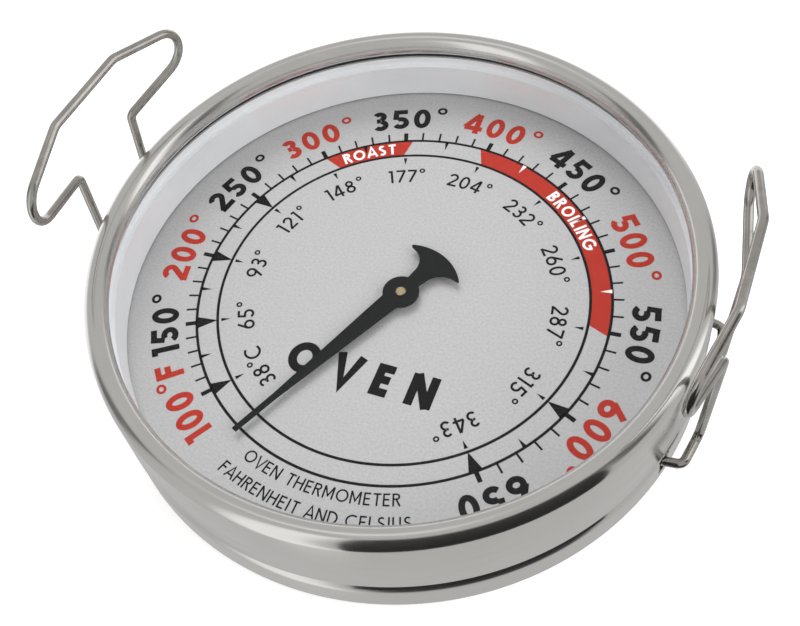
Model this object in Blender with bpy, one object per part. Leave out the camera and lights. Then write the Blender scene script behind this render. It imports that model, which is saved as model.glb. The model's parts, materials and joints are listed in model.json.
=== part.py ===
"""Dial thermometer for an oven rack or a grill surface, with two swinging wire handles.

The case rests on its flat base and the dial faces up (+Z). The three o'clock side of the dial is +X
and the twelve o'clock side is +Y. The origin is the centre of the base's underside. Lengths are metres.
"""
import math

import bmesh
import bpy
from mathutils import Matrix, Vector

MM = 0.001
GAP = 0.3 * MM          # clearance that touching pieces keep
ROUND = 72              # facets round the large turned pieces
SMALL_ROUND = 20        # facets round the small turned pieces

# Case
CASE_R = 47.5 * MM
SHEET = 0.6 * MM
CORNER = 0.8 * MM       # rounding of the base's lower edge
SEAM_Z = 7.3 * MM       # the bezel's skirt ends one gap above this
SHOULDER_R = 2.2 * MM   # rounding from the base cup's wall in to the neck that the skirt covers
SHOULDER_Z = 4.9 * MM
NECK_TOP = 8.0 * MM
BEAD_TUBE_R = 1.85 * MM
BEAD_Z = 19.65 * MM
BEAD_CURL_END = 262     # degrees round the bead's section, from its outer side

# Dial stack
DIAL_Z = 8.8 * MM       # printed face
DIAL_SHEET = 0.5 * MM
DIAL_HOLE_R = 1.9 * MM
WALL_R = 44.1 * MM      # spacer ring's inner wall
LENS_R = 44.6 * MM
LENS_SEAT_Z = 15.4 * MM
LENS_THICK = 1.2 * MM
GASKET_R = 44.3 * MM
GASKET_THICK = 0.3 * MM

# Movement
ARBOR_R = 0.8 * MM
ARBOR_Z = (1.5 * MM, 10.5 * MM)
COLLET_R = 2.2 * MM
COIL_Z = (2.9 * MM, 4.7 * MM)
COIL_STRIP = 0.35 * MM
COIL_R = (2.7 * MM, 9.3 * MM)
COIL_TURNS = 4.0
POST_R = 0.8 * MM
BRIDGE_SHEET = 0.8 * MM
BRIDGE_WIDTH = 6.0 * MM
BRIDGE_LEG_Y = 13.0 * MM
BRIDGE_FOOT_Y = 19.0 * MM
BRIDGE_TOP_Z = 7.0 * MM
RIVET_Y = 16.3 * MM
RIVET_R = 0.9 * MM

# Pointer, along its own +X before it is turned
POINTER_Z = 9.9 * MM
POINTER_SHEET = 0.4 * MM
POINTER_LENGTH = 34.0 * MM
POINTER_HUB_R = 2.9 * MM
POINTER_TURN = 244.4    # degrees from the three o'clock side, where it rests in a cool room

# Wire handles
WIRE_R = 0.73 * MM
HINGE_X = 45.4 * MM
HINGE_Z = 4.4 * MM
HOLE_Y = 12.9 * MM      # half the distance between a handle's two holes
HANDLE_LEAN = {"left": 92.5, "right": 87.5}     # degrees up from lying flat outwards
HANDLE_TWIST = {"left": -5.7, "right": 0.5}     # degrees that the hoop is bent round from its feet
HOOP_SHIFT = {"left": (0.4, 0.0), "right": (-0.5, -1.5)}     # mm that it is bent along the hinge and up
# Half of the wire, as (outwards, along the hinge, up) in mm, with the bend radius at each point.
HALF_WIRE = (
    ((-1.8, 12.9, -0.85), 0.0),
    ((0.0, 12.9, 0.0), 1.0),
    ((2.9, 12.5, 0.0), 1.3),
    ((3.9, 7.0, 0.2), 1.7),
    ((3.9, 7.0, 23.8), 1.2),
    ((-1.5, 30.4, 30.0), 3.8),
    ((3.7, 7.4, 35.9), 4.0),
)
ARC_STEPS = 6


def clear_scene():
    for obj in list(bpy.data.objects):
        bpy.data.objects.remove(obj, do_unlink=True)


def material(name, color, roughness, metallic=0.0, alpha=1.0):
    mat = bpy.data.materials.new(name)
    mat.use_nodes = True
    shader = mat.node_tree.nodes["Principled BSDF"]
    shader.inputs["Base Color"].default_value = (*color, 1.0)
    shader.inputs["Roughness"].default_value = roughness
    shader.inputs["Metallic"].default_value = metallic
    shader.inputs["Alpha"].default_value = alpha
    return mat


def add_object(name, data, mat, parent=None):
    obj = bpy.data.objects.new(name, data)
    bpy.context.scene.collection.objects.link(obj)
    data.materials.append(mat)
    obj.parent = parent
    return obj


def add_empty(name, location, turn=(0, 0, 0)):
    empty = bpy.data.objects.new(name, None)
    bpy.context.scene.collection.objects.link(empty)
    empty.location = location
    empty.rotation_euler = turn
    return empty


def finish_mesh(name, bm, mat, parent=None):
    bmesh.ops.remove_doubles(bm, verts=bm.verts, dist=1e-6)
    bmesh.ops.recalc_face_normals(bm, faces=bm.faces)
    mesh = bpy.data.meshes.new(name)
    bm.to_mesh(mesh)
    bm.free()
    mesh.shade_smooth()
    mesh.set_sharp_from_angle(angle=math.radians(30))
    return add_object(name, mesh, mat, parent)


def turned(name, profile, mat, parent=None, centre=(0, 0), steps=ROUND):
    """Turn a closed (radius, height) outline about +Z; a point on the axis closes the piece."""
    bm = bmesh.new()
    verts = [bm.verts.new((radius, 0, height)) for radius, height in profile]
    pairs = [(verts[i - 1], verts[i]) for i in range(len(verts))]
    edges = [bm.edges.new(pair) for pair in pairs if any(vert.co.x > 0 for vert in pair)]
    bmesh.ops.spin(bm, geom=verts + edges, cent=(0, 0, 0), axis=(0, 0, 1), angle=2 * math.pi, steps=steps,
                   use_merge=True)
    bmesh.ops.translate(bm, verts=bm.verts, vec=(*centre, 0))
    return finish_mesh(name, bm, mat, parent)


def tube_profile(inner, outer, low, high):
    return [(inner, low), (outer, low), (outer, high), (inner, high)]


def disc_profile(radius, low, high):
    return [(0, low), (radius, low), (radius, high), (0, high)]


def extruded(name, outline, low, high, mat, parent=None):
    """Extrude a closed (x, y) outline from one height to another."""
    bm = bmesh.new()
    face = bm.faces.new([bm.verts.new((x, y, low)) for x, y in outline])
    sides = bmesh.ops.extrude_face_region(bm, geom=[face])
    moved = [item for item in sides["geom"] if isinstance(item, bmesh.types.BMVert)]
    bmesh.ops.translate(bm, verts=moved, vec=(0, 0, high - low))
    bmesh.ops.triangulate(bm, faces=bm.faces)
    return finish_mesh(name, bm, mat, parent)


def arc(centre, radius, start, end, steps):
    angles = [math.radians(start + (end - start) * i / steps) for i in range(steps + 1)]
    return [(centre[0] + radius * math.cos(a), centre[1] + radius * math.sin(a)) for a in angles]


def cut(target, *cutters):
    for cutter in cutters:
        cutter.hide_render = True
        cutter.display_type = "WIRE"
        boolean = target.modifiers.new(cutter.name, "BOOLEAN")
        boolean.operation = "DIFFERENCE"
        boolean.solver = "EXACT"
        boolean.object = cutter


def make_base_cup(mat):
    inner_r = CASE_R - SHEET
    neck_r = inner_r - GAP - 0.05 * MM
    outside = arc((CASE_R - CORNER, CORNER), CORNER, -90, 0, 3)
    round_centre = (CASE_R - SHOULDER_R, SHOULDER_Z)
    outside += arc(round_centre, SHOULDER_R, 0, 55, 6) + [(neck_r, NECK_TOP)]
    inside = [(neck_r - SHEET, NECK_TOP)] + arc(round_centre, SHOULDER_R - SHEET, 66, 0, 6)
    inside += [(inner_r, SHEET + 0.3 * MM), (inner_r - 0.3 * MM, SHEET)]
    cup = turned("base_cup", [(0, 0)] + outside + inside + [(0, SHEET)], mat)
    for side in (-1, 1):
        rivet_hole = turned(f"rivet_hole_{side}", disc_profile(RIVET_R + GAP, -1 * MM, 2 * MM), mat,
                            centre=(0, side * RIVET_Y), steps=SMALL_ROUND)
        cut(cup, rivet_hole)
        for end in (-1, 1):
            cut(cup, make_wire_hole(side, end, mat))
    return cup


def make_wire_hole(side, end, mat):
    """An upright slot through the cup's wall, tall enough for the wire to swing in it."""
    half_width = WIRE_R + 0.5 * MM
    low, high = HINGE_Z - 1.95 * MM, HINGE_Z + 1.25 * MM
    x0, x1 = sorted((side * (HINGE_X - 2 * MM), side * (HINGE_X + 2 * MM)))
    y0, y1 = end * HOLE_Y - half_width, end * HOLE_Y + half_width
    return extruded(f"wire_hole_{side}_{end}", [(x0, y0), (x1, y0), (x1, y1), (x0, y1)], low, high, mat)


def make_bezel(mat):
    bead = (CASE_R - BEAD_TUBE_R, BEAD_Z)
    outer = arc(bead, BEAD_TUBE_R, 0, BEAD_CURL_END, 14)
    inner = arc(bead, BEAD_TUBE_R - SHEET, BEAD_CURL_END, 0, 8)
    skirt_low = SEAM_Z + GAP
    return turned("bezel", [(CASE_R, skirt_low)] + outer + inner + [(CASE_R - SHEET, skirt_low)], mat)


def make_dial_stack(steel, dial_paint, glass, rubber):
    room_r = CASE_R - SHEET - GAP
    turned("dial_plate", tube_profile(DIAL_HOLE_R, room_r - 0.1 * MM, DIAL_Z - DIAL_SHEET, DIAL_Z), dial_paint)
    lens_low = LENS_SEAT_Z + GAP
    lens_high = lens_low + LENS_THICK
    turned("spacer_ring", [(WALL_R, DIAL_Z + GAP), (room_r, DIAL_Z + GAP), (room_r, lens_high),
                           (LENS_R + GAP, lens_high), (LENS_R + GAP, LENS_SEAT_Z), (WALL_R, LENS_SEAT_Z)],
           steel)
    turned("lens", disc_profile(LENS_R, lens_low, lens_high), glass)
    gasket_low = lens_high + GAP
    turned("lens_gasket", tube_profile(GASKET_R, room_r, gasket_low, gasket_low + GASKET_THICK), rubber)


def make_bridge(mat):
    """A strap with two legs and two feet, bent in the YZ plane."""
    foot_low = SHEET + GAP
    outer = [(BRIDGE_FOOT_Y, foot_low), (BRIDGE_FOOT_Y, foot_low + BRIDGE_SHEET),
             (BRIDGE_LEG_Y + BRIDGE_SHEET, foot_low + BRIDGE_SHEET), (BRIDGE_LEG_Y + BRIDGE_SHEET, BRIDGE_TOP_Z)]
    inner = [(BRIDGE_LEG_Y, BRIDGE_TOP_Z - BRIDGE_SHEET), (BRIDGE_LEG_Y, foot_low)]
    half = inner + outer
    section = half + [(-y, z) for y, z in reversed(half)]
    bridge = extruded("movement_bridge", section, -BRIDGE_WIDTH / 2, BRIDGE_WIDTH / 2, mat)
    stand = Matrix(((0, 0, 1, 0), (1, 0, 0, 0), (0, 1, 0, 0), (0, 0, 0, 1)))
    bridge.data.transform(stand)
    bushing_hole = turned("bushing_hole", disc_profile(2.0 * MM + GAP, 5 * MM, 8 * MM), mat, steps=SMALL_ROUND)
    cut(bridge, bushing_hole)
    for side in (-1, 1):
        foot_hole = turned(f"foot_hole_{side}", disc_profile(RIVET_R + GAP, 0, 3 * MM), mat,
                           centre=(0, side * RIVET_Y), steps=SMALL_ROUND)
        cut(bridge, foot_hole)
    return bridge


def make_rivet(name, y, mat):
    head_low = SHEET + GAP + BRIDGE_SHEET + GAP
    profile = [(0, 0.15 * MM), (RIVET_R, 0.15 * MM), (RIVET_R, head_low), (1.7 * MM, head_low),
               (1.5 * MM, head_low + 0.5 * MM), (0.8 * MM, head_low + 0.7 * MM), (0, head_low + 0.7 * MM)]
    turned(name, profile, mat, centre=(0, y), steps=SMALL_ROUND)


def make_bearings(brass):
    bore_r = ARBOR_R + GAP
    low = SHEET + GAP
    turned("lower_bearing", [(0, low), (2.6 * MM, low), (2.6 * MM, low + 0.6 * MM), (2.0 * MM, 2.4 * MM),
                             (bore_r, 2.4 * MM), (bore_r, ARBOR_Z[0] - GAP), (0, ARBOR_Z[0] - GAP)],
           brass, steps=SMALL_ROUND)
    shank_r, flange_r = 2.0 * MM, 3.2 * MM
    flange_low = BRIDGE_TOP_Z + GAP
    turned("upper_bushing", [(bore_r, 6.0 * MM), (shank_r, 6.0 * MM), (shank_r, flange_low),
                             (flange_r, flange_low), (flange_r, flange_low + 0.5 * MM),
                             (bore_r, flange_low + 0.5 * MM)], brass, steps=SMALL_ROUND)


def make_bimetal_coil(mat):
    """A flat spiral strip standing on edge, whose last stretch reaches towards the anchor post."""
    steps_per_turn = 20
    count = int(COIL_TURNS * steps_per_turn)
    centre_line = []
    for i in range(count + 1):
        angle = 2 * math.pi * i / steps_per_turn
        radius = COIL_R[0] + COIL_STRIP / 2 + (COIL_R[1] - COIL_R[0]) * i / count
        centre_line.append(Vector((radius * math.cos(angle), radius * math.sin(angle))))
    half = COIL_STRIP / 2
    inner = [point - point.normalized() * half for point in centre_line]
    outer = [point + point.normalized() * half for point in centre_line]
    outline = [tuple(point) for point in outer] + [tuple(point) for point in reversed(inner)]
    extruded("bimetal_coil", outline, *COIL_Z, mat)


def make_movement(steel, brass, bimetal):
    make_bridge(steel)
    make_rivet("bridge_rivet_front", -RIVET_Y, steel)
    make_rivet("bridge_rivet_rear", RIVET_Y, steel)
    make_bearings(brass)
    make_bimetal_coil(bimetal)
    post_x = COIL_R[1] + COIL_STRIP + GAP + POST_R
    turned("coil_post", disc_profile(POST_R, SHEET + GAP, COIL_Z[1] + 0.4 * MM), brass,
           centre=(post_x, 0), steps=12)


def pointer_outline():
    """Tapered needle, round hub and anchor-shaped tail, tip along +X."""
    tip = [(POINTER_LENGTH, -0.38 * MM), (POINTER_LENGTH, 0.38 * MM), (26 * MM, 0.44 * MM)]
    root_half, neck_half = 1.6 * MM, 1.15 * MM
    hub_start = math.degrees(math.asin(root_half / POINTER_HUB_R))
    hub_end = 180 - math.degrees(math.asin(neck_half / POINTER_HUB_R))
    hub = arc((0, 0), POINTER_HUB_R, hub_start, hub_end, 8)
    flare = arc((-3.95 * MM, 4.65 * MM), 3.32 * MM, -90, -180, 8)
    blade = arc((-0.5 * MM, 0), 8.9 * MM, 143.5, 180, 6)
    upper = hub + flare + [(-7.35 * MM, 5.2 * MM)] + blade
    lower = [(x, -y) for x, y in reversed(upper[:-1])]
    return tip + upper + lower + [(26 * MM, -0.44 * MM)]


def make_pointer_group(black, brass, steel):
    axis = add_empty("pointer_axis", (0, 0, 0))
    bore_r = ARBOR_R + GAP
    turned("arbor", disc_profile(ARBOR_R, *ARBOR_Z), steel, axis, steps=SMALL_ROUND)
    turned("coil_collet", tube_profile(bore_r, COLLET_R, COIL_Z[0] - 0.1 * MM, COIL_Z[1] + 0.1 * MM), brass,
           axis, steps=SMALL_ROUND)
    turned("arbor_clip", tube_profile(bore_r, 2.4 * MM, 5.2 * MM, 5.6 * MM), steel, axis, steps=SMALL_ROUND)
    turned("pointer_boss", tube_profile(bore_r, 1.8 * MM, DIAL_Z + GAP, POINTER_Z - GAP), brass, axis,
           steps=SMALL_ROUND)
    pointer = extruded("pointer", pointer_outline(), POINTER_Z, POINTER_Z + POINTER_SHEET, black, axis)
    pointer.data.transform(Matrix.Rotation(math.radians(POINTER_TURN), 4, "Z"))
    hub_hole = turned("hub_hole", disc_profile(bore_r, POINTER_Z - 1 * MM, POINTER_Z + 1 * MM), black,
                      steps=SMALL_ROUND)
    cut(pointer, hub_hole)


def rounded_path(corners):
    """Replace each corner of a run of straight lines by a circular arc of its own radius."""
    path = [corners[0][0]]
    for i in range(1, len(corners) - 1):
        corner, radius = corners[i]
        back = (corners[i - 1][0] - corner).normalized()
        ahead = (corners[i + 1][0] - corner).normalized()
        half_angle = back.angle(ahead) / 2
        reach = radius / math.tan(half_angle)
        bisector = (back + ahead).normalized()
        centre = corner + bisector * (radius / math.sin(half_angle))
        first = (corner + back * reach - centre).normalized()
        last = (corner + ahead * reach - centre).normalized()
        for step in range(ARC_STEPS + 1):
            path.append(centre + first.slerp(last, step / ARC_STEPS) * radius)
    path.append(corners[-1][0])
    return path


def handle_corners(twist, shift):
    """The whole wire, from one inner end to the other, with the hoop turned and then shifted."""
    half = [(Vector(point) * MM, radius * MM) for point, radius in HALF_WIRE]
    other = [(Vector((p.x, -p.y, p.z)), radius) for p, radius in reversed(half)]
    turn = Matrix.Rotation(math.radians(twist), 3, "Z")
    move = Vector((0, *shift)) * MM
    corners = []
    for point, radius in half + other:
        is_hoop = point.z > 10 * MM
        corners.append((turn @ point + move if is_hoop else point, radius))
    return corners


def make_handle(side_name, side, mat):
    lean = HANDLE_LEAN[side_name]
    hinge = add_empty(f"{side_name}_hinge", (side * HINGE_X, 0, HINGE_Z),
                      (0, side * math.radians(90 - lean), 0))
    curve = bpy.data.curves.new(f"{side_name}_handle", "CURVE")
    curve.dimensions = "3D"
    curve.bevel_depth = WIRE_R
    curve.bevel_resolution = 2
    curve.use_fill_caps = True
    points = rounded_path(handle_corners(HANDLE_TWIST[side_name] * side, HOOP_SHIFT[side_name]))
    spline = curve.splines.new("POLY")
    spline.points.add(len(points) - 1)
    for spline_point, point in zip(spline.points, points):
        spline_point.co = (side * point.x, point.y, point.z, 1)
    add_object(f"{side_name}_handle", curve, mat, hinge)


def main():
    clear_scene()
    steel = material("stainless_satin", (0.62, 0.61, 0.59), 0.32, 1.0)
    polished = material("polished_ring", (0.80, 0.80, 0.80), 0.15, 1.0)
    wire_steel = material("wire_steel", (0.55, 0.53, 0.50), 0.22, 1.0)
    dial_paint = material("dial_silver", (0.58, 0.58, 0.60), 0.45, 0.2)
    glass = material("clear_glass", (0.95, 0.97, 0.97), 0.03, 0.0, 0.2)
    rubber = material("gasket_black", (0.03, 0.03, 0.03), 0.7)
    black = material("pointer_black", (0.015, 0.015, 0.015), 0.5)
    brass = material("brass", (0.72, 0.53, 0.25), 0.3, 1.0)
    bimetal = material("bimetal", (0.50, 0.44, 0.36), 0.35, 1.0)
    make_base_cup(steel)
    make_bezel(steel)
    make_dial_stack(polished, dial_paint, glass, rubber)
    make_movement(steel, brass, bimetal)
    make_pointer_group(black, brass, steel)
    make_handle("left", -1, wire_steel)
    make_handle("right", 1, wire_steel)


main()
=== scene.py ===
"""Looks of a dial thermometer with wire handles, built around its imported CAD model. Lengths are metres."""
import json
import math

import bmesh
import bpy
from mathutils import Matrix, Vector


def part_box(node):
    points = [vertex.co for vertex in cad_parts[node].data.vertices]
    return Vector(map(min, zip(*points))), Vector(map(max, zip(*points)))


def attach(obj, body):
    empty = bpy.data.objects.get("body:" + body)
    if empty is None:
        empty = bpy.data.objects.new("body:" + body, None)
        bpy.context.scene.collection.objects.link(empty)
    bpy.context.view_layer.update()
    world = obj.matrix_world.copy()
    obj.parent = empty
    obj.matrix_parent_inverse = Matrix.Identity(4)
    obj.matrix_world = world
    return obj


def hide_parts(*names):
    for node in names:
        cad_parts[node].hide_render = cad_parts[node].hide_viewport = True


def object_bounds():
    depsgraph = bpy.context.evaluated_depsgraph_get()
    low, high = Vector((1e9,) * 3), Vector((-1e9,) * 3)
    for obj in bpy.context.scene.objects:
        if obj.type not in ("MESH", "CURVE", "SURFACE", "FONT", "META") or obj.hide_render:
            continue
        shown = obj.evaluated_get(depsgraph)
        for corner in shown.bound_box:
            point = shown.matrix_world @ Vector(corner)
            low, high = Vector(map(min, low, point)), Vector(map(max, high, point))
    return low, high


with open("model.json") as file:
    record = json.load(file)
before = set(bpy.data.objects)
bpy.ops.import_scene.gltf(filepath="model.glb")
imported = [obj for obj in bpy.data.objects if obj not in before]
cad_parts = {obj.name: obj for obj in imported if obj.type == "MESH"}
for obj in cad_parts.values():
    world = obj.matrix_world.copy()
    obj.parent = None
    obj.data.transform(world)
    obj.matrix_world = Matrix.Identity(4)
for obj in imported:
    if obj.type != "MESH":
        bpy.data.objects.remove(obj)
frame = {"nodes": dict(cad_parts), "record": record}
CAD_BOX = [list(corner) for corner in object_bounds()]
MM = 0.001

# Sizes read from the CAD frame
BEZEL_LOW, BEZEL_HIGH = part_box("bezel")
CUP_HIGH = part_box("base_cup")[1]
DIAL_LOW, DIAL_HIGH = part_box("dial_plate")
RING_LOW, RING_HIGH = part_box("spacer_ring")
LENS_LOW, LENS_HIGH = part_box("lens")
GASKET_LOW, GASKET_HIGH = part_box("lens_gasket")
POINTER_LOW, POINTER_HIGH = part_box("pointer")
BOSS_LOW, BOSS_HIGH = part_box("pointer_boss")
ARBOR_LOW, ARBOR_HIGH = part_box("arbor")
JOINTS = {joint["name"]: joint for joint in frame["record"]["behaviour"]["joints"]}
CASE_R = BEZEL_HIGH.x
DIAL_Z = DIAL_HIGH.z

# Camera: azimuth, elevation and roll in degrees, about the centre of the dial
CAMERA_TURN = (30, 55.5, -10.33)
CAMERA_DISTANCE = 185.7 * MM
CAMERA_SHIFT = (-0.26 * MM, -2.58 * MM)     # rightwards and upwards in its own frame
CAMERA_LENS = 52.8

# Studio: (azimuth, half width, lowest and highest elevation in degrees, brightness)
STUDIO = (
    (130, 56, -47, 8, 1.22),
    (310, 34, -45, 0, 0.05),
    (0, 9, 8, 56, 0.12),
    (26, 9, -2, 58, 1.35),
    (50, 9, -12, 22, 0.25),
    (251, 13, -60, 62, 1.1),
    (195, 10, -2, 46, 0.16),
    (142, 28, 66, 80, 1.0),
)
STUDIO_LEVEL = 0.58         # brightness everywhere else
EDGE_TURN, EDGE_RISE = 5.0, 6.0     # half the soft edge of each stretch, sideways and upwards, in degrees
MATT_LEVEL = 1.55           # how much brighter matt surfaces see the studio than mirrors do
KEY_PLACE, KEY_POWER = (-0.16, 0.28, 0.51), 2.1
FILL_PLACE, FILL_POWER = (0.46, -0.06, 0.34), 1.3
LIGHT_SIZE = 0.3
LIGHT_TARGET = (0, 0, 0.01)
FLOOR_DROP = 0.05 * MM      # how far the floor lies under the case

# A curved black card in front of the near side
CARD_R, CARD_TOP = 62 * MM, 55 * MM
CARD_TURN = (-80, -27)      # the azimuths it spans, in degrees
CARD_REACH = 50 * MM        # metal further off than this doesn't mirror it
CARD_STEPS = 24

# Sheet metal
SHEET = 0.6 * MM
BEAD_TUBE_R = 1.85 * MM
WALL_R = 44.1 * MM
WALL_STEP = 0.8 * MM
GASKET_R = 45.0 * MM
LENS_SEAT_Z = LENS_LOW.z - 0.3 * MM
SHOULDER_R = 2.2 * MM       # the base cup's rounding under the bezel
SHOULDER_Z = 4.9 * MM
HOLE_Y = 12.9 * MM          # half the distance between a handle's two holes
FINE = 288                  # steps round the case

# Dial printing: SCALE_R is the outer of the two printed circles
SCALE_R = 32.9 * MM
INNER_R = 0.898 * SCALE_R
TICK_OUT = 1.055 * SCALE_R
SHORT_MARK_TIP = 0.945 * SCALE_R
INNER_MARK_BASE, INNER_MARK_TIP = 0.880 * SCALE_R, 0.835 * SCALE_R
INK = 0.02 * MM
INK_STEP = 0.003 * MM       # strokes that cross lie at slightly different heights
LINE = 0.45 * MM
MAJOR_TICK, MINOR_TICK = 0.72 * MM, 0.33 * MM
LONG_MARK, SHORT_MARK, INNER_MARK = 2.2 * MM, 0.7 * MM, 0.6 * MM
FAHRENHEIT = range(100, 651, 50)
CELSIUS = (38, 65, 93, 121, 148, 177, 204, 232, 260, 287, 315, 343)     # printed by the numbers above
ZONES = {"ROAST": (300, 354), "BROILING": (396, 552)}                   # coloured stretches in degrees F

# Lettering: baseline radius and letter height, with stroke width and spacing as shares of the height
OUTER_NUMBERS = {"radius": 1.09 * SCALE_R, "height": 4.45 * MM, "weight": 0.22, "spacing": 0.02,
                 "stretch": 1.12}
INNER_NUMBERS = {"radius": 0.718 * SCALE_R, "height": 2.7 * MM, "weight": 0.14}
ZONE_WORDS = {"radius": 0.915 * SCALE_R, "height": 2.25 * MM, "weight": 0.19, "spacing": 0.07}
SMALL_WORDS = {"height": 2.0 * MM, "weight": 0.13, "spacing": 0.08, "inward": True}
SMALL_LINES = {"OVEN THERMOMETER": 1.095 * SCALE_R, "FAHRENHEIT AND CELSIUS": 1.205 * SCALE_R}
SMALL_LINES_ANGLE = 271
BIG_WORD_R = 1000 * MM      # a circle this wide sets the word almost straight
BIG_WORD = {"radius": BIG_WORD_R, "height": 5.6 * MM, "weight": 0.25, "spacing": 0.4, "inward": True,
            "centre": (-0.6 * MM, BIG_WORD_R - 18.0 * MM)}
OUTER_LAG, INNER_LAG = 0.8, 0.6     # how far the numbers sit clockwise of their ticks, in degrees
RING_PEN = 0.1                      # stroke of the degree rings, as a share of the letter height

# Wire handles: lean and twist in degrees, then half of one wire as corners (outwards, along the hinge, up)
# in mm with their bend radii
WIRE_R = 0.73 * MM
HANDLE_LEAN = {"left": 92.5, "right": 87.5}
HANDLE_TWIST = {"left": -5.7, "right": 0.5}
HOOP_SHIFT = {"left": (0.4, 0.0), "right": (-0.5, -1.5)}      # along the hinge and up, in mm
HOOP_FROM = 10 * MM         # the part of the wire higher than this twists and shifts
HALF_WIRE = (
    ((-1.8, 12.9, -0.85), 0.0),
    ((0.0, 12.9, 0.0), 1.0),
    ((2.9, 12.5, 0.0), 1.3),
    ((3.9, 7.0, 0.2), 1.7),
    ((3.9, 7.0, 23.8), 1.2),
    ((-1.5, 30.4, 30.0), 3.8),
    ((3.7, 7.4, 35.9), 4.0),
)

# Pointer
POINTER_TURN = 244.4        # degrees, where its tip points at rest
POINTER_LENGTH = 34.0 * MM


# ---------------------------------------------------------------- node trees

def feed(tree, socket, value):
    """Link a node's output to a socket, or set the socket to a constant."""
    if isinstance(value, bpy.types.NodeSocket):
        tree.links.new(value, socket)
    else:
        socket.default_value = value


class Nodes:
    """Short calls for building a node tree."""

    def __init__(self, tree):
        self.tree = tree

    def node(self, kind, inputs=(), **settings):
        node = self.tree.nodes.new(kind)
        for key, value in settings.items():
            setattr(node, key, value)
        for key, value in dict(inputs).items():
            feed(self.tree, node.inputs[key], value)
        return node

    def math(self, operation, *values):
        return self.node("ShaderNodeMath", dict(enumerate(values)), operation=operation).outputs[0]

    def ramp(self, factor, low, high, out_low, out_high, **settings):
        limits = {"Value": factor, "From Min": low, "From Max": high, "To Min": out_low, "To Max": out_high}
        return self.node("ShaderNodeMapRange", limits, **settings).outputs["Result"]

    def noise(self, vector, scale, detail=4.0, roughness=0.5):
        values = {"Vector": vector, "Scale": scale, "Detail": detail, "Roughness": roughness}
        return self.node("ShaderNodeTexNoise", values).outputs["Fac"]

    def mix(self, factor, first, second):
        return self.node("ShaderNodeMix", {0: factor, 6: first, 7: second}, data_type="RGBA").outputs[2]


class MaterialNodes(Nodes):
    """A new material with a Principled shader, and its node tree."""

    def __init__(self, name):
        self.material = bpy.data.materials.new(name)
        self.material.use_nodes = True
        super().__init__(self.material.node_tree)
        self.shader = self.tree.nodes["Principled BSDF"]

    def place(self):
        return self.node("ShaderNodeTexCoord").outputs["Object"]

    def bump(self, height, distance, strength=1.0):
        return self.node("ShaderNodeBump", {"Height": height, "Distance": distance,
                                            "Strength": strength}).outputs["Normal"]

    def set(self, **values):
        for key, value in values.items():
            feed(self.tree, self.shader.inputs[key.replace("_", " ")], value)
        return self.material


# ---------------------------------------------------------------- camera, light and floor

def place_camera():
    """A camera above the near right of the dial, turned a little about its own axis."""
    azimuth, elevation, roll = (math.radians(angle) for angle in CAMERA_TURN)
    across, along = CAMERA_SHIFT
    back = Vector((math.sin(azimuth) * math.cos(elevation), -math.cos(azimuth) * math.cos(elevation),
                   math.sin(elevation)))
    level = Vector((math.cos(azimuth), math.sin(azimuth), 0))
    rise = back.cross(level)
    right = math.cos(roll) * level + math.sin(roll) * rise
    up = -math.sin(roll) * level + math.cos(roll) * rise
    data = bpy.data.cameras.new("camera")
    data.sensor_width = 36
    data.lens = CAMERA_LENS
    data.clip_start = 0.01
    camera = bpy.data.objects.new("camera", data)
    bpy.context.scene.collection.objects.link(camera)
    turn = Matrix((right, up, back)).transposed().to_4x4()
    place = Vector((0, 0, DIAL_Z)) + CAMERA_DISTANCE * back + across * right + along * up
    camera.matrix_world = Matrix.Translation(place) @ turn
    bpy.context.scene.camera = camera


def add_area(name, place, power):
    """A square light aimed at the case, which the metal and the window don't mirror."""
    data = bpy.data.lights.new(name, "AREA")
    data.shape = "SQUARE"
    data.size = LIGHT_SIZE
    data.energy = power
    light = bpy.data.objects.new(name, data)
    bpy.context.scene.collection.objects.link(light)
    aim = Vector(LIGHT_TARGET) - Vector(place)
    light.matrix_world = Matrix.Translation(place) @ aim.to_track_quat("-Z", "Y").to_matrix().to_4x4()
    light.visible_glossy = False


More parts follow.
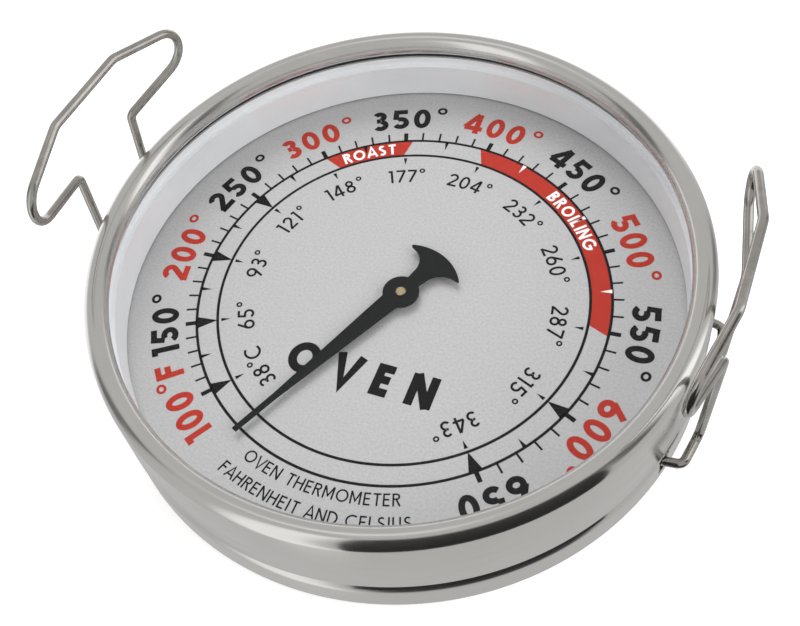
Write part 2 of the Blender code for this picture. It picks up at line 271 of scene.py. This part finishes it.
def light_scene():
    """A pale studio: white to the camera, with brighter and darker stretches that the metal mirrors."""
    bpy.context.scene.view_settings.view_transform = "Standard"
    world = bpy.data.worlds.new("studio")
    bpy.context.scene.world = world
    world.use_nodes = True
    nodes = Nodes(world.node_tree)

    def within(value, middle, half, soft):
        """1 near the middle, 0 further off than half, with a soft edge."""
        off = nodes.math("ABSOLUTE", nodes.math("SUBTRACT", value, middle))
        return nodes.ramp(off, half - soft, half + soft, 1.0, 0.0, interpolation_type="SMOOTHSTEP")

    direction = nodes.node("ShaderNodeTexCoord").outputs["Generated"]
    x, y, z = nodes.node("ShaderNodeSeparateXYZ", {0: direction}).outputs
    turn = nodes.math("MULTIPLY", nodes.math("ARCTAN2", y, x), 180 / math.pi)
    height = nodes.math("MULTIPLY", nodes.math("ARCSINE", z), 180 / math.pi)
    level = STUDIO_LEVEL
    for azimuth, half_turn, low, high, value in STUDIO:
        away = nodes.math("WRAP", nodes.math("SUBTRACT", turn, azimuth), 180.0, -180.0)
        share = nodes.math("MULTIPLY", within(away, 0.0, half_turn, EDGE_TURN),
                           within(height, (low + high) / 2, (high - low) / 2, EDGE_RISE))
        change = nodes.math("SUBTRACT", value, level)
        level = nodes.math("ADD", level, nodes.math("MULTIPLY", share, change))
    path = nodes.node("ShaderNodeLightPath").outputs
    boost = nodes.math("ADD", 1.0, nodes.math("MULTIPLY", path["Is Diffuse Ray"], MATT_LEVEL - 1.0))
    level = nodes.math("MULTIPLY", level, boost)
    seen = path["Is Camera Ray"]
    level = nodes.math("ADD", nodes.math("MULTIPLY", level, nodes.math("SUBTRACT", 1.0, seen)), seen)
    background = world.node_tree.nodes["Background"]
    feed(world.node_tree, background.inputs["Strength"], level)
    background.inputs["Color"].default_value = (1.0, 0.99, 0.98, 1)
    add_area("key", KEY_PLACE, KEY_POWER)
    add_area("fill", FILL_PLACE, FILL_POWER)
    add_dark_card()


def add_dark_card():
    """A black card that is seen only in the reflections of metal close to it."""
    bm = bmesh.new()
    outline = arc((0, 0), CARD_R, *CARD_TURN, CARD_STEPS)
    rows = [[bm.verts.new((x, y, z)) for x, y in outline] for z in (0.0, CARD_TOP)]
    for i in range(CARD_STEPS):
        bm.faces.new((rows[0][i], rows[0][i + 1], rows[1][i + 1], rows[1][i]))
    black = plain("card_black", (0.02, 0.02, 0.02), 0.9)
    tree = black.node_tree
    nodes = Nodes(tree)
    far = nodes.math("GREATER_THAN", nodes.node("ShaderNodeLightPath").outputs["Ray Length"], CARD_REACH)
    clear = nodes.node("ShaderNodeBsdfTransparent").outputs[0]
    matt = tree.nodes["Principled BSDF"].outputs[0]
    blend = nodes.node("ShaderNodeMixShader", {0: far, 1: matt, 2: clear}).outputs[0]
    feed(tree, tree.nodes["Material Output"].inputs["Surface"], blend)
    card = link_mesh("dark_card", bm, black)
    card.visible_camera = False
    card.visible_diffuse = False
    card.visible_shadow = False
    card.visible_transmission = False


def make_floor():
    """A plain white floor, a little lit from within so that it fades into the background."""
    bm = bmesh.new()
    bmesh.ops.create_grid(bm, x_segments=1, y_segments=1, size=3)
    white = plain("floor_white", (0.7, 0.7, 0.7), 0.8)
    shader = white.node_tree.nodes["Principled BSDF"]
    shader.inputs["Emission Color"].default_value = (1, 1, 1, 1)
    shader.inputs["Emission Strength"].default_value = 0.5
    floor = link_mesh("floor", bm, white)
    floor.location.z = CAD_BOX[0][2] - FLOOR_DROP
    floor.visible_glossy = False


# ---------------------------------------------------------------- materials

def rgba(color):
    return (*color, 1.0)


def plain(name, color, roughness):
    """A matt colour with a faint grain."""
    nodes = MaterialNodes(name)
    grain = nodes.noise(nodes.place(), 40.0)
    shade = nodes.mix(nodes.ramp(grain, 0.3, 0.7, 0, 1), rgba(color), rgba([c * 0.985 for c in color]))
    return nodes.set(Base_Color=shade, Roughness=roughness)


def round_coordinates(nodes, around, across):
    """Coordinates that change slowly round the +Z axis and fast across it, for marks left by turning."""
    split = nodes.node("ShaderNodeSeparateXYZ", {0: nodes.place()})
    x, y, z = split.outputs
    radius = nodes.math("SQRT", nodes.math("ADD", nodes.math("MULTIPLY", x, x), nodes.math("MULTIPLY", y, y)))
    unit_x = nodes.math("DIVIDE", x, radius)
    unit_y = nodes.math("DIVIDE", y, radius)
    height = nodes.math("ADD", z, radius)
    parts = {"X": nodes.math("MULTIPLY", unit_x, around), "Y": nodes.math("MULTIPLY", unit_y, around),
             "Z": nodes.math("MULTIPLY", height, across)}
    return nodes.node("ShaderNodeCombineXYZ", parts).outputs[0]


def turned_metal(name, color, roughness, spread, line_depth, matt=0.0):
    """Sheet metal with fine lines round its axis and soft clouding; matt is its share of plain scatter."""
    nodes = MaterialNodes(name)
    lines = nodes.noise(round_coordinates(nodes, 6.0, 9000.0), 1.0, 3.0, 0.6)
    broad = nodes.noise(round_coordinates(nodes, 2.0, 700.0), 1.0, 2.0, 0.5)
    clouds = nodes.noise(nodes.place(), 90.0, 5.0, 0.6)
    shade = nodes.math("ADD", nodes.math("MULTIPLY", lines, 0.5), nodes.math("MULTIPLY", clouds, 0.5))
    tone = nodes.mix(nodes.ramp(shade, 0.35, 0.65, 0, 1), rgba([c * 0.93 for c in color]), rgba(color))
    rough = nodes.ramp(nodes.math("ADD", broad, clouds), 0.7, 1.3, roughness - spread, roughness + spread)
    return nodes.set(Base_Color=tone, Metallic=1.0 - matt, Roughness=rough,
                     Normal=nodes.bump(lines, line_depth, 0.6))


def drawn_wire(name, color, roughness):
    """Steel wire with fine lines along its length and soft clouding."""
    nodes = MaterialNodes(name)
    stretched = nodes.node("ShaderNodeMapping", {"Vector": nodes.place(), "Scale": (900, 900, 120)})
    lines = nodes.noise(stretched.outputs[0], 1.0, 4.0, 0.6)
    clouds = nodes.noise(nodes.place(), 260.0, 4.0, 0.6)
    tone = nodes.mix(nodes.ramp(clouds, 0.35, 0.65, 0, 1), rgba([c * 0.8 for c in color]), rgba(color))
    rough = nodes.ramp(lines, 0.3, 0.7, roughness - 0.06, roughness + 0.1)
    return nodes.set(Base_Color=tone, Metallic=1.0, Roughness=rough, Normal=nodes.bump(lines, 0.00003, 0.4))


def cast_grain(name, color, metallic, roughness, scale, depth, gloss=0.5):
    """A colour with fine speckle and bump, for paint, brass and rubber."""
    nodes = MaterialNodes(name)
    grain = nodes.noise(nodes.place(), scale, 5.0, 0.65)
    tone = nodes.mix(nodes.ramp(grain, 0.35, 0.65, 0, 1), rgba([c * 0.82 for c in color]), rgba(color))
    rough = nodes.ramp(grain, 0.3, 0.7, roughness - 0.08, roughness + 0.08)
    return nodes.set(Base_Color=tone, Metallic=metallic, Roughness=rough, Specular_IOR_Level=gloss,
                     Normal=nodes.bump(grain, depth, 0.5))


def clear_glass():
    """A window that is seen through everywhere and mirrors a little, more at a slant."""
    nodes = MaterialNodes("window_glass")
    haze = nodes.noise(nodes.place(), 30.0, 3.0, 0.5)
    tone = nodes.mix(haze, (0.93, 0.96, 0.96, 1), (0.97, 0.98, 0.98, 1))
    facing = nodes.node("ShaderNodeLayerWeight", {"Blend": 0.5}).outputs["Facing"]
    least, slant_gain, slant_power = 0.012, 0.3, 4.0
    mirror = nodes.math("MULTIPLY_ADD", nodes.math("POWER", facing, slant_power), slant_gain, least)
    return nodes.set(Base_Color=tone, Metallic=1.0, Roughness=0.04, Alpha=mirror)


# ---------------------------------------------------------------- mesh helpers

def arc(centre, radius, start, end, steps):
    """Points along an arc between two angles in degrees, both ends included."""
    angles = [math.radians(start + (end - start) * i / steps) for i in range(steps + 1)]
    return [(centre[0] + radius * math.cos(a), centre[1] + radius * math.sin(a)) for a in angles]


def link_mesh(name, bm, material=None):
    """Put a bmesh into the scene as an object."""
    mesh = bpy.data.meshes.new(name)
    bm.to_mesh(mesh)
    bm.free()
    if material:
        mesh.materials.append(material)
    piece = bpy.data.objects.new(name, mesh)
    bpy.context.scene.collection.objects.link(piece)
    return piece


def finish_piece(name, bm, body, material, replaces=(), sharp=30):
    """Put a bmesh into the scene as a piece that rides on a body and stands for CAD nodes."""
    bmesh.ops.remove_doubles(bm, verts=bm.verts, dist=1e-7)
    bmesh.ops.recalc_face_normals(bm, faces=bm.faces)
    piece = link_mesh(name, bm, material)
    piece.data.shade_smooth()
    piece.data.set_sharp_from_angle(angle=math.radians(sharp))
    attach(piece, body)
    if replaces:
        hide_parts(*replaces)
    return piece


def turned(profile, steps=FINE):
    """Turn a closed (radius, height) outline about +Z; points on the axis close the piece."""
    bm = bmesh.new()
    verts = [bm.verts.new((radius, 0, height)) for radius, height in profile]
    pairs = [(verts[i - 1], verts[i]) for i in range(len(verts))]
    edges = [bm.edges.new(pair) for pair in pairs if any(vert.co.x > 0 for vert in pair)]
    bmesh.ops.spin(bm, geom=verts + edges, cent=(0, 0, 0), axis=(0, 0, 1), angle=2 * math.pi, steps=steps,
                   use_merge=True)
    return bm


def add_slab(bm, outline, low, high):
    """Add a flat closed piece with the given (x, y) outline."""
    lower = [bm.verts.new((x, y, low)) for x, y in outline]
    upper = [bm.verts.new((x, y, high)) for x, y in outline]
    bm.faces.new(lower[::-1])
    bm.faces.new(upper)
    for i in range(len(outline)):
        bm.faces.new((lower[i - 1], lower[i], upper[i], upper[i - 1]))


def add_ribbon(bm, path, width, low, high, closed=False):
    """Add a flat stroke of constant width along a run of points, with square ends and mitred corners."""
    count = len(path)
    points = [Vector(point) for point in path]
    left, right = [], []
    for i, point in enumerate(points):
        before = points[i - 1] if i or closed else point
        after = points[(i + 1) % count] if i < count - 1 or closed else point
        back = (point - before).normalized() if before != point else (after - point).normalized()
        ahead = (after - point).normalized() if after != point else back
        side = Vector((-(back + ahead).y, (back + ahead).x)).normalized()
        reach = width / 2 / max(0.5, side.dot(Vector((-ahead.y, ahead.x))))
        left.append(point + side * reach)
        right.append(point - side * reach)
    spans = count if closed else count - 1
    corners = [[bm.verts.new((*p, z)) for p in row] for row in (left, right) for z in (low, high)]
    left_low, left_high, right_low, right_high = corners
    for i in range(spans):
        j = (i + 1) % count
        bm.faces.new((left_high[i], right_high[i], right_high[j], left_high[j]))
        bm.faces.new((left_low[j], right_low[j], right_low[i], left_low[i]))
        bm.faces.new((left_low[i], left_high[i], left_high[j], left_low[j]))
        bm.faces.new((right_low[j], right_high[j], right_high[i], right_low[i]))
    if not closed:
        bm.faces.new((left_low[0], right_low[0], right_high[0], left_high[0]))
        bm.faces.new((left_high[-1], right_high[-1], right_low[-1], left_low[-1]))


# ---------------------------------------------------------------- plain stroke lettering

def letter_shapes(w):
    """Centre lines of letters that are 1 tall, for strokes w wide, each with its advance width."""
    h = w / 2
    top = 1 - h

    def bow(cx, cy, r, start, end):
        return arc((cx, cy), r - h, start, end, 20)

    def oval(cx, cy, rx, ry):
        steps = 28
        return [(cx + (rx - h) * math.cos(2 * math.pi * i / steps),
                 cy + (ry - h) * math.sin(2 * math.pi * i / steps)) for i in range(steps)] + ["closed"]

    stem = [(h, 0), (h, 1)]
    head = [(h, top), (0.50, top)]
    upper_bowl = [(h, top), (0.30, top)] + arc((0.30, 0.745), 0.255 - h, 88, -88, 14) + [(h, 0.49 + h)]
    lower_bowl = [(h, 0.49 + h), (0.32, 0.49 + h)] + arc((0.32, 0.27), 0.27 - h, 88, -88, 14) + [(h, h)]
    six = [oval(0.32, 0.32, 0.32, 0.32), [(0.06, 0.40), (0.42, 1.0)]]
    nine = [[p if p == "closed" else (0.64 - p[0], 1 - p[1]) for p in path] for path in six]
    return {
        "0": ([oval(0.31, 0.5, 0.31, 0.5)], 0.70),
        "1": ([[(0.24, 0), (0.24, 1)], [(0.04, top), (0.24, top)]], 0.42),
        "2": ([bow(0.30, 0.70, 0.30, 165, -38) + [(0.06, h)], [(0.02, h), (0.60, h)]], 0.68),
        "3": ([bow(0.28, 0.74, 0.26, 150, -80), bow(0.28, 0.29, 0.29, 80, -150),
               [(0.16, 0.525), (0.30, 0.525)]], 0.66),
        "4": ([[(0.43, 1), (0.05, 0.27)], [(0.03, 0.26), (0.66, 0.26)], [(0.46, 0), (0.46, 1)]], 0.74),
        "5": ([[(0.54, top), (0.14, top)], [(0.16, 1), (0.11, 0.50)],
               bow(0.28, 0.315, 0.315, 118, -150)], 0.68),
        "6": (six, 0.72),
        "7": ([[(0.02, top), (0.60, top)], [(0.55, top), (0.20, 0)]], 0.62),
        "8": ([oval(0.30, 0.745, 0.255, 0.255), oval(0.30, 0.29, 0.30, 0.29)], 0.68),
        "9": (nine, 0.72),
        "o": ([oval(0.22, 0.93, 0.18, 0.18)], 0.44),      # degree ring
        " ": ([], 0.36),
        "A": ([[(0.02, 0), (0.36, 1), (0.70, 0)], [(0.16, 0.30), (0.56, 0.30)]], 0.78),
        "B": ([stem, upper_bowl, lower_bowl], 0.70),
        "C": ([bow(0.48, 0.5, 0.5, 52, 308)], 0.92),
        "D": ([stem, [(h, top), (0.24, top)] + arc((0.24, 0.5), 0.5 - h, 88, -88, 20) + [(h, h)]], 0.84),
        "E": ([stem, head, [(h, 0.52), (0.46, 0.52)], [(h, h), (0.50, h)]], 0.62),
        "F": ([stem, head, [(h, 0.54), (0.45, 0.54)]], 0.58),
        "G": ([bow(0.48, 0.5, 0.5, 52, 360), [(0.96, 0.5), (0.52, 0.5)]], 1.06),
        "H": ([stem, [(0.60, 0), (0.60, 1)], [(h, 0.52), (0.60, 0.52)]], 0.76),
        "I": ([[(h + 0.02, 0), (h + 0.02, 1)]], 0.26),
        "L": ([stem, [(h, h), (0.46, h)]], 0.56),
        "M": ([stem, [(h, 1), (0.40, 0.25), (0.80 - h, 1)], [(0.80 - h, 1), (0.80 - h, 0)]], 0.92),
        "N": ([stem, [(h, 1), (0.64, 0)], [(0.64, 0), (0.64, 1)]], 0.80),
        "O": ([oval(0.46, 0.5, 0.46, 0.5)], 1.0),
        "R": ([stem, upper_bowl, [(0.30, 0.50), (0.54, 0)]], 0.68),
        "S": ([bow(0.28, 0.74, 0.26, 40, 250) + bow(0.28, 0.28, 0.28, 70, -140)], 0.66),
        "T": ([[(0.30, 0), (0.30, 1)], [(0.02, top), (0.58, top)]], 0.66),
        "U": ([[(h, 1), (h, 0.31)] + arc((0.31, 0.31), 0.31 - h, 180, 360, 16) + [(0.62 - h, 1)]], 0.76),
        "V": ([[(0.02, 1), (0.34, 0), (0.66, 1)]], 0.74),
    }


def add_arc_text(bm, text, angle, low, radius, height, weight, spacing=0.04, stretch=1.0, inward=False,
                 centre=(0, 0)):
    """Letters along a circle, centred on an angle in degrees, tops outward unless inward is set.

    radius is where the letters' baseline runs. A stretch above 1 widens them."""
    pens = [min(weight, RING_PEN) if char == "o" else weight for char in text]
    letters = [letter_shapes(pen)[char] for char, pen in zip(text, pens)]
    widths = [(advance + spacing) * stretch * height for _, advance in letters]
    turn = 1 if inward else -1
    along = -sum(widths) / 2
    for (strokes, _), pen, width in zip(letters, pens, widths):
        bearing = math.radians(angle) + turn * (along + width / 2) / radius
        middle = (width / height - spacing * stretch) / 2
        out = Vector((math.cos(bearing), math.sin(bearing)))
        across = Vector((-out.y, out.x)) * turn
        rise = -out if inward else out
        for order, path in enumerate(strokes):
            closed = path[-1] == "closed"
            points = path[:-1] if closed else path
            placed = [Vector(centre) + out * radius + across * (x * stretch - middle) * height
                      + rise * y * height for x, y in points]
            add_ribbon(bm, placed, pen * height, low, low + INK + order * INK_STEP, closed)
        along += width


# ---------------------------------------------------------------- dial printing

def scale_angle(fahrenheit):
    """Angle in degrees of a temperature on the scale, whose spacing widens towards the hot end."""
    step = (fahrenheit - 100) / 50
    return 229 - (22.5 * step + 0.258 * step * step)


def polar(radius, degrees):
    return (radius * math.cos(math.radians(degrees)), radius * math.sin(math.radians(degrees)))


def add_ring(bm, radius, low):
    add_ribbon(bm, arc((0, 0), radius, 0, 360, 240)[:-1], LINE, low, low + INK, closed=True)


def add_tick(bm, degrees, width, low):
    add_ribbon(bm, [polar(SCALE_R, degrees), polar(TICK_OUT, degrees)], width, low, low + INK)


def add_marker(bm, degrees, base_r, tip_r, width, low):
    """A triangle whose base lies on one circle and whose tip touches another."""
    spread = math.degrees(width / 2 / base_r)
    add_slab(bm, [polar(base_r, degrees - spread), polar(base_r, degrees + spread), polar(tip_r, degrees)],
             low, low + INK)


def add_zone(bm, start, end, low):
    """A coloured stretch of the band between the circles, with slanted ends."""
    inner_r, outer_r = INNER_R + LINE / 2, SCALE_R - LINE / 2
    slant = 2.5
    sweep = arc((0, 0), outer_r, scale_angle(start), scale_angle(end), 60)
    back = arc((0, 0), inner_r, scale_angle(end) + slant, scale_angle(start) - slant, 60)
    add_slab(bm, sweep + back, low, low + INK)


def print_scale(black, red, white):
    """The two circles, the coloured zones, the ticks and the marks."""
    for radius in (SCALE_R, INNER_R):
        add_ring(black, radius, DIAL_Z)
    for start, end in ZONES.values():
        add_zone(red, start, end, DIAL_Z)
    for temperature in range(100, 651, 10):
        width = MAJOR_TICK if temperature in FAHRENHEIT else MINOR_TICK
        add_tick(black, scale_angle(temperature), width, DIAL_Z)
    for temperature in (100, 150, 200, 250, 600, 650):
        add_marker(black, scale_angle(temperature), SCALE_R, INNER_R, LONG_MARK, DIAL_Z)
    start, end = ZONES["BROILING"]
    for temperature in range(125, 650, 50):
        layer, low = (white, DIAL_Z + INK) if start < temperature < end else (black, DIAL_Z)
        add_marker(layer, scale_angle(temperature), SCALE_R, SHORT_MARK_TIP, SHORT_MARK, low)
    for temperature in FAHRENHEIT:
        add_marker(black, scale_angle(temperature), INNER_MARK_BASE, INNER_MARK_TIP, INNER_MARK, DIAL_Z)


def print_numbers(black, red, white):
    """Red and black degrees F outside the circles, degrees C inside them, and the zones' words."""
    for temperature, inner in zip(FAHRENHEIT, CELSIUS):
        first = temperature == FAHRENHEIT[0]
        angle = scale_angle(temperature)
        layer = red if temperature % 100 == 0 else black
        add_arc_text(layer, f"{temperature}o" + "F" * first, angle - OUTER_LAG, DIAL_Z, **OUTER_NUMBERS)
        add_arc_text(black, f"{inner}o" + "C" * first, angle - INNER_LAG, DIAL_Z, **INNER_NUMBERS)
    for word, (start, end) in ZONES.items():
        add_arc_text(white, word, scale_angle((start + end) / 2), DIAL_Z + INK, **ZONE_WORDS)


def print_words(black):
    """Two small lines at the bottom of the dial and a big word under its centre."""
    for words, radius in SMALL_LINES.items():
        add_arc_text(black, words, SMALL_LINES_ANGLE, DIAL_Z, radius, **SMALL_WORDS)
    add_arc_text(black, "OVEN", 270, DIAL_Z, **BIG_WORD)


def make_dial(materials):
    """The painted plate and its printing, one thin piece for each ink."""
    hole_r = 1.9 * MM
    plate = [(hole_r, DIAL_LOW.z), (DIAL_HIGH.x, DIAL_LOW.z), (DIAL_HIGH.x, DIAL_Z), (hole_r, DIAL_Z)]
    finish_piece("dial_face", turned(plate), "case", materials["dial"], ["dial_plate"])
    layers = {color: bmesh.new() for color in ("black", "red", "white")}
    print_scale(**layers)
    print_numbers(**layers)
    print_words(layers["black"])
    for color, layer in layers.items():
        finish_piece(f"dial_print_{color}", layer, "case", materials[f"ink_{color}"])


# ---------------------------------------------------------------- case

def make_bezel(materials):
    """The skirt, whose sheet is rolled over into a bead at the top."""
    bead = (CASE_R - BEAD_TUBE_R, BEZEL_HIGH.z - BEAD_TUBE_R)
    outer = arc(bead, BEAD_TUBE_R, 0, 262, 52)
    inner = arc(bead, BEAD_TUBE_R - SHEET, 262, 0, 30)
    low = BEZEL_LOW.z
    edge = 0.15 * MM
    rim = arc((CASE_R - edge, low + edge), edge, -90, 0, 4)
    profile = rim + outer + inner + [(CASE_R - SHEET, low)]
    finish_piece("bezel_shell", turned(profile), "case", materials["bezel"], ["bezel"])


def make_cup(materials):
    """The base pan, whose wall rounds in to a neck under the bezel's skirt."""
    wall = CASE_R - 0.05 * MM
    neck_r = CASE_R - SHEET - 0.35 * MM
    shoulder = (wall - SHOULDER_R, SHOULDER_Z)
    foot = 1.0 * MM
    outside = [(0, 0)] + arc((wall - foot, foot), foot, -90, 0, 10) + arc(shoulder, SHOULDER_R, 0, 54, 20)
    outside += [(neck_r, CUP_HIGH.z), (neck_r - SHEET, CUP_HIGH.z)]
    inside = arc(shoulder, SHOULDER_R - SHEET, 62, 0, 12)
    inside += [(wall - SHEET, SHEET + 0.5 * MM), (wall - SHEET - 0.5 * MM, SHEET), (0, SHEET)]
    cup = finish_piece("cup_shell", turned(outside + inside), "case", materials["cup"],
                       ["base_cup"])
    cut_wire_holes(cup)


def cut_wire_holes(cup):
    """Four upright slots in which the wires swing."""
    bm = bmesh.new()
    half_width = WIRE_R + 0.5 * MM
    for name in ("left_handle_fold", "right_handle_fold"):
        x, _, z = JOINTS[name]["pos_m"]
        for y in (-HOLE_Y, HOLE_Y):
            box = bmesh.ops.create_cube(bm, size=1)["verts"]
            bmesh.ops.scale(bm, vec=(4 * MM, 2 * half_width, 3.2 * MM), verts=box)
            bmesh.ops.translate(bm, vec=(x, y, z - 0.35 * MM), verts=box)
    slots = link_mesh("slots", bm)
    boolean = cup.modifiers.new("slots", "BOOLEAN")
    boolean.operation = "DIFFERENCE"
    boolean.solver = "EXACT"
    boolean.object = slots
    evaluated = cup.evaluated_get(bpy.context.evaluated_depsgraph_get())
    cup.data = bpy.data.meshes.new_from_object(evaluated)
    cup.modifiers.clear()
    bpy.data.objects.remove(slots)


def make_window(materials):
    """The bright inner wall, the glass that lies on it and the glass's gasket."""
    room_r = RING_HIGH.x
    seat_r = WALL_R + WALL_STEP
    profile = [(WALL_R, RING_LOW.z), (room_r, RING_LOW.z), (room_r, RING_HIGH.z), (seat_r, RING_HIGH.z),
               (seat_r, LENS_SEAT_Z), (WALL_R, LENS_SEAT_Z)]
    finish_piece("inner_wall", turned(profile), "case", materials["wall"], ["spacer_ring"])
    edge = 0.2 * MM
    lens = [(0, LENS_LOW.z), (LENS_HIGH.x - edge, LENS_LOW.z), (LENS_HIGH.x, LENS_LOW.z + edge),
            (LENS_HIGH.x, LENS_HIGH.z - edge), (LENS_HIGH.x - edge, LENS_HIGH.z), (0, LENS_HIGH.z)]
    finish_piece("window", turned(lens), "case", materials["glass"], ["lens"])
    gasket = [(GASKET_R, GASKET_LOW.z), (GASKET_HIGH.x, GASKET_LOW.z), (GASKET_HIGH.x, GASKET_HIGH.z),
              (GASKET_R, GASKET_HIGH.z)]
    finish_piece("window_gasket", turned(gasket), "case", materials["rubber"],
                 ["lens_gasket"])


# ---------------------------------------------------------------- pointer

def pointer_outline():
    """Needle, hub and anchor tail, as one outline with the tip along +X."""
    hub_r = 2.9 * MM
    root, neck = 1.6 * MM, 1.15 * MM
    tip = [(POINTER_LENGTH, -0.38 * MM), (POINTER_LENGTH, 0.38 * MM), (26 * MM, 0.44 * MM)]
    start = math.degrees(math.asin(root / hub_r))
    end = 180 - math.degrees(math.asin(neck / hub_r))
    hub = arc((0, 0), hub_r, start, end, 20)
    flare = arc((-3.95 * MM, 4.65 * MM), 3.32 * MM, -90, -180, 16)
    blade = arc((-0.5 * MM, 0), 8.9 * MM, 143.5, 180, 14)
    upper = hub + flare + [(-7.35 * MM, 5.2 * MM)] + blade
    lower = [(x, -y) for x, y in reversed(upper[:-1])]
    return tip + upper + lower + [(26 * MM, -0.44 * MM)]


def make_pointer(materials):
    """The flat needle, the collar under it and the arbor that both turn on."""
    bm = bmesh.new()
    add_slab(bm, pointer_outline(), POINTER_LOW.z, POINTER_HIGH.z)
    turn = Matrix.Rotation(math.radians(POINTER_TURN), 3, "Z")
    bmesh.ops.rotate(bm, verts=bm.verts, cent=(0, 0, 0), matrix=turn)
    bmesh.ops.triangulate(bm, faces=bm.faces)
    finish_piece("pointer_needle", bm, "pointer", materials["black"], ["pointer"])
    bore_r = 0.85 * MM
    top = POINTER_LOW.z - 0.02 * MM
    boss = [(bore_r, BOSS_LOW.z), (BOSS_HIGH.x, BOSS_LOW.z), (BOSS_HIGH.x, top), (bore_r, top)]
    finish_piece("pointer_collar", turned(boss, 64), "pointer", materials["brass"],
                 ["pointer_boss"])
    pin_r = 0.8 * MM
    top = ARBOR_HIGH.z
    pin = turned([(0, ARBOR_LOW.z), (pin_r, ARBOR_LOW.z), (pin_r, top - 0.1 * MM), (pin_r - 0.1 * MM, top),
                  (0, top)], 48)
    finish_piece("arbor_pin", pin, "pointer", materials["brass"], ["arbor"])


# ---------------------------------------------------------------- wire handles

def rounded_path(corners, steps=12):
    """Points along straight runs between (point, bend radius) corners, with an arc at each inner one."""
    path = [corners[0][0]]
    for i in range(1, len(corners) - 1):
        corner, radius = corners[i]
        back = (corners[i - 1][0] - corner).normalized()
        ahead = (corners[i + 1][0] - corner).normalized()
        half_angle = back.angle(ahead) / 2
        reach = radius / math.tan(half_angle)
        centre = corner + (back + ahead).normalized() * (radius / math.sin(half_angle))
        first = (corner + back * reach - centre).normalized()
        last = (corner + ahead * reach - centre).normalized()
        for step in range(steps + 1):
            path.append(centre + first.slerp(last, step / steps) * radius)
    path.append(corners[-1][0])
    return path


def handle_points(side_name, side):
    """Centre line of one handle's wire, from one hole in the case to the other."""
    half = [(Vector(point) * MM, radius * MM) for point, radius in HALF_WIRE]
    other = [(Vector((p.x, -p.y, p.z)), radius) for p, radius in reversed(half)]
    twist = Matrix.Rotation(math.radians(HANDLE_TWIST[side_name] * side), 3, "Z")
    move = Vector((0, *HOOP_SHIFT[side_name])) * MM
    corners = [(twist @ point + move if point.z > HOOP_FROM else point, radius)
               for point, radius in half + other]
    hinge = Vector(JOINTS[f"{side_name}_handle_fold"]["pos_m"])
    lean = Matrix.Rotation(side * math.radians(90 - HANDLE_LEAN[side_name]), 3, "Y")
    return [hinge + lean @ Vector((side * point.x, point.y, point.z)) for point in rounded_path(corners)]


def tube(points, radius, sides=24):
    """A closed round bar along the points, with flat ends."""
    bm = bmesh.new()
    rings = []
    tangent = (points[1] - points[0]).normalized()
    normal = tangent.orthogonal().normalized()
    for i, point in enumerate(points):
        ahead = points[min(i + 1, len(points) - 1)] - points[max(i - 1, 0)]
        turn = tangent.rotation_difference(ahead.normalized())
        normal = turn @ normal
        tangent = ahead.normalized()
        binormal = tangent.cross(normal)
        rings.append([bm.verts.new(point + radius * (math.cos(2 * math.pi * k / sides) * normal
                                                     + math.sin(2 * math.pi * k / sides) * binormal))
                      for k in range(sides)])
    for first, second in zip(rings, rings[1:]):
        for k in range(sides):
            bm.faces.new((first[k - 1], first[k], second[k], second[k - 1]))
    bm.faces.new(rings[0][::-1])
    bm.faces.new(rings[-1])
    return bm


def make_handles(materials):
    for side_name, side in (("left", -1), ("right", 1)):
        bm = tube(handle_points(side_name, side), WIRE_R)
        finish_piece(f"{side_name}_handle_wire", bm, f"{side_name}_handle", materials["wire"],
                     [f"{side_name}_handle"], sharp=50)


# ---------------------------------------------------------------- pieces kept from the CAD model

def dress_kept_nodes(materials):
    """Give the movement's CAD nodes, which stay as they are, their materials."""
    finishes = {
        "movement_bridge": "pressed", "bridge_rivet_front": "pressed", "bridge_rivet_rear": "pressed",
        "arbor_clip": "pressed", "upper_bushing": "brass", "lower_bearing": "brass", "coil_collet": "brass",
        "coil_post": "brass", "bimetal_coil": "bimetal",
    }
    for node, finish in finishes.items():
        for slot in frame["nodes"][node].material_slots:
            slot.material = materials[finish]


def make_materials():
    return {
        "bezel": turned_metal("bezel_satin_steel", (0.72, 0.71, 0.69), 0.20, 0.04, 0.000004),
        "cup": turned_metal("cup_satin_steel", (0.72, 0.71, 0.69), 0.22, 0.05, 0.000004),
        "wall": turned_metal("bright_wall", (0.90, 0.92, 0.94), 0.34, 0.05, 0.000003, 0.75),
        "dial": cast_grain("dial_silver_paint", (0.445, 0.445, 0.45), 0.1, 0.42, 2500.0, 0.000003, 0.25),
        "ink_black": cast_grain("ink_black", (0.006, 0.006, 0.007), 0.0, 0.5, 1500.0, 0.000002, 0.06),
        "ink_red": cast_grain("ink_red", (0.40, 0.03, 0.018), 0.0, 0.5, 1500.0, 0.000002, 0.08),
        "ink_white": cast_grain("ink_white", (0.85, 0.84, 0.83), 0.0, 0.45, 1500.0, 0.000002),
        "black": cast_grain("pointer_black_paint", (0.008, 0.009, 0.009), 0.0, 0.45, 2600.0, 0.00003, 0.1),
        "brass": cast_grain("turned_brass", (0.78, 0.62, 0.36), 1.0, 0.28, 1200.0, 0.000004),
        "bimetal": cast_grain("bimetal_strip", (0.52, 0.46, 0.38), 1.0, 0.35, 900.0, 0.000004),
        "pressed": cast_grain("pressed_steel", (0.55, 0.54, 0.52), 1.0, 0.38, 700.0, 0.000004),
        "wire": drawn_wire("handle_wire_steel", (0.52, 0.50, 0.47), 0.16),
        "rubber": cast_grain("gasket_rubber", (0.03, 0.03, 0.03), 0.0, 0.7, 1800.0, 0.00001),
        "glass": clear_glass(),
    }


def main():
    place_camera()
    light_scene()
    make_floor()
    materials = make_materials()
    make_bezel(materials)
    make_cup(materials)
    make_dial(materials)
    make_window(materials)
    make_pointer(materials)
    make_handles(materials)
    dress_kept_nodes(materials)


main()
